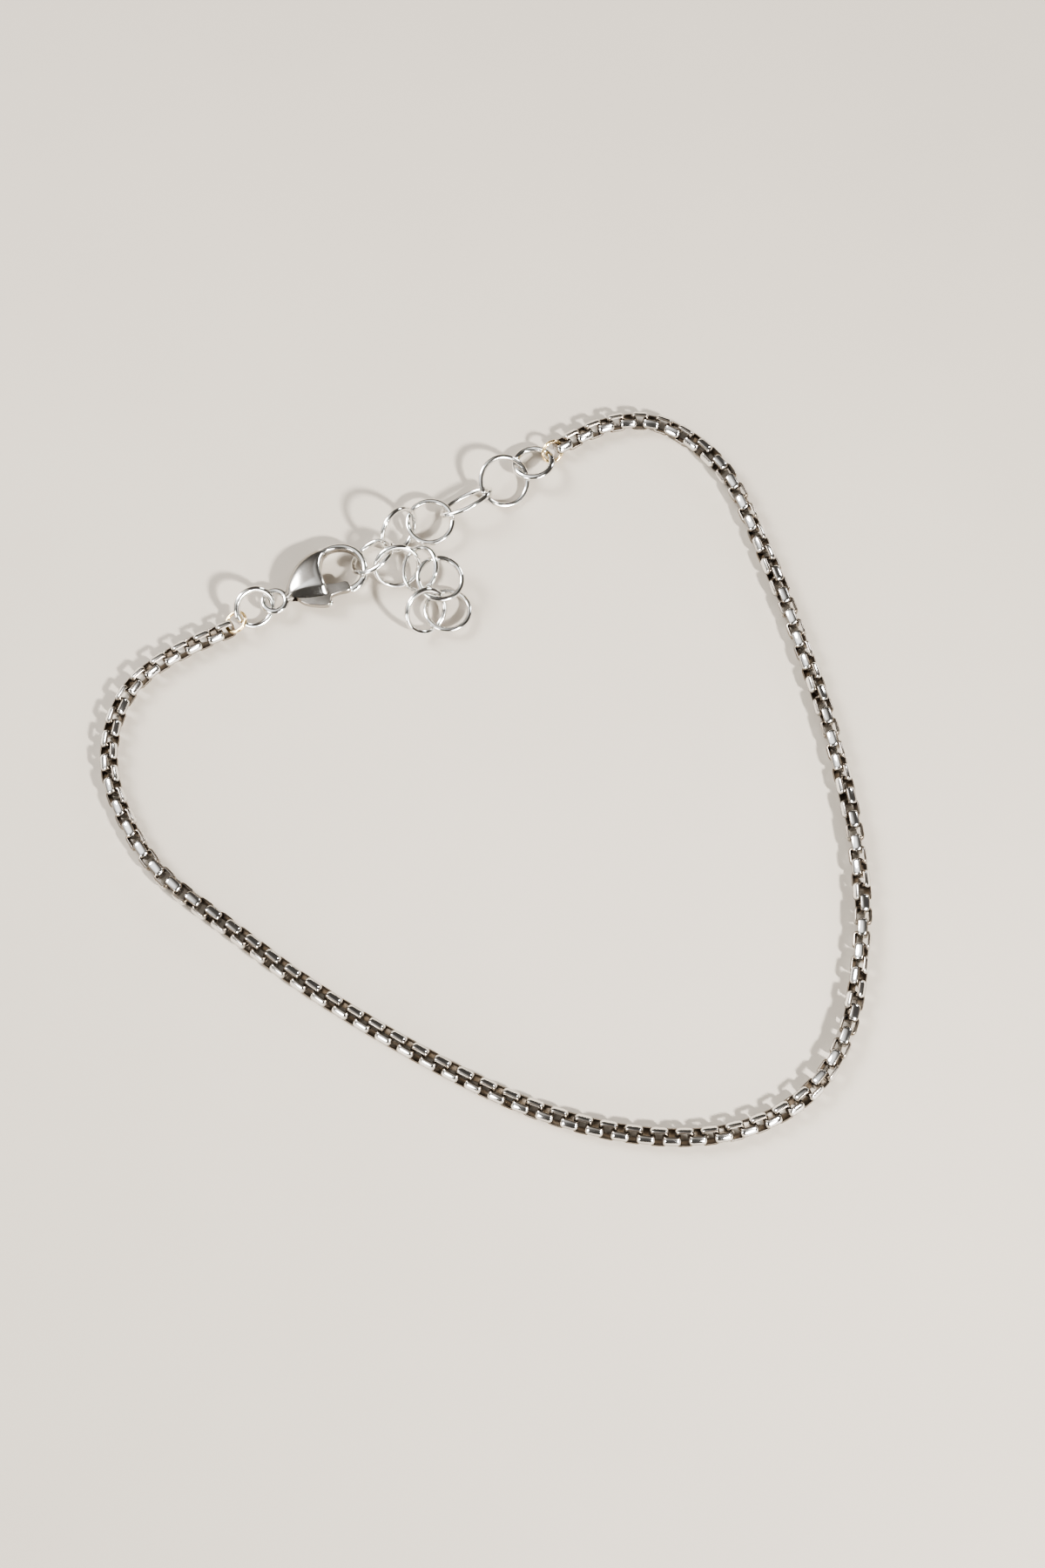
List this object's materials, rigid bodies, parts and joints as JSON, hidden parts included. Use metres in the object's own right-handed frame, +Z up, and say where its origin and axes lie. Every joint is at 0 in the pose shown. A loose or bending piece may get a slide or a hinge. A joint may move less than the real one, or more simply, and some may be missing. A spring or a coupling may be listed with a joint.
{
  "type": "box chain bracelet",
  "caption": "Closed bracelet of interlocked rectangular box links, with a sprung lobster clasp, jump rings and an extender of round wire links.",
  "frame": {"origin": "on the surface that the bracelet lies on, below the middle of its bounding box", "axes": "+Z up from the surface; +X to the right and +Y away from the viewer, with the clasp at the left and far side"},
  "size_m": [0.0642, 0.0646, 0.0039],
  "materials": {
    "chain_silver": "polished silver, slightly darkened in the recesses",
    "polished_silver": "bright polished silver",
    "gold_wire": "polished pale gold"
  },
  "bodies": {
    "bracelet": {"box_chain": "chain_silver", "gold_ring_left": "gold_wire", "gold_ring_right": "gold_wire", "jump_ring_left": "polished_silver", "jump_ring_right": "polished_silver", "clasp_body": "polished_silver", "extender_link_1": "polished_silver", "extender_link_2": "polished_silver", "extender_link_3": "polished_silver", "extender_link_4": "polished_silver", "extender_link_5": "polished_silver", "extender_link_6": "polished_silver", "extender_link_7": "polished_silver", "extender_link_8": "polished_silver", "extender_link_9": "polished_silver", "extender_link_10": "polished_silver"},
    "trigger": {"clasp_trigger": "polished_silver"}
  },
  "joints": [
    {"name": "trigger_pivot", "type": "hinge", "parent": "bracelet", "child": "trigger", "pos_m": [-0.0157, 0.01531, 0.00109], "axis": [0, 0, 1], "range_deg": [0, 20], "stiffness_Nm_per_rad": 0.00001, "springref_deg": -20.05}
  ]
}
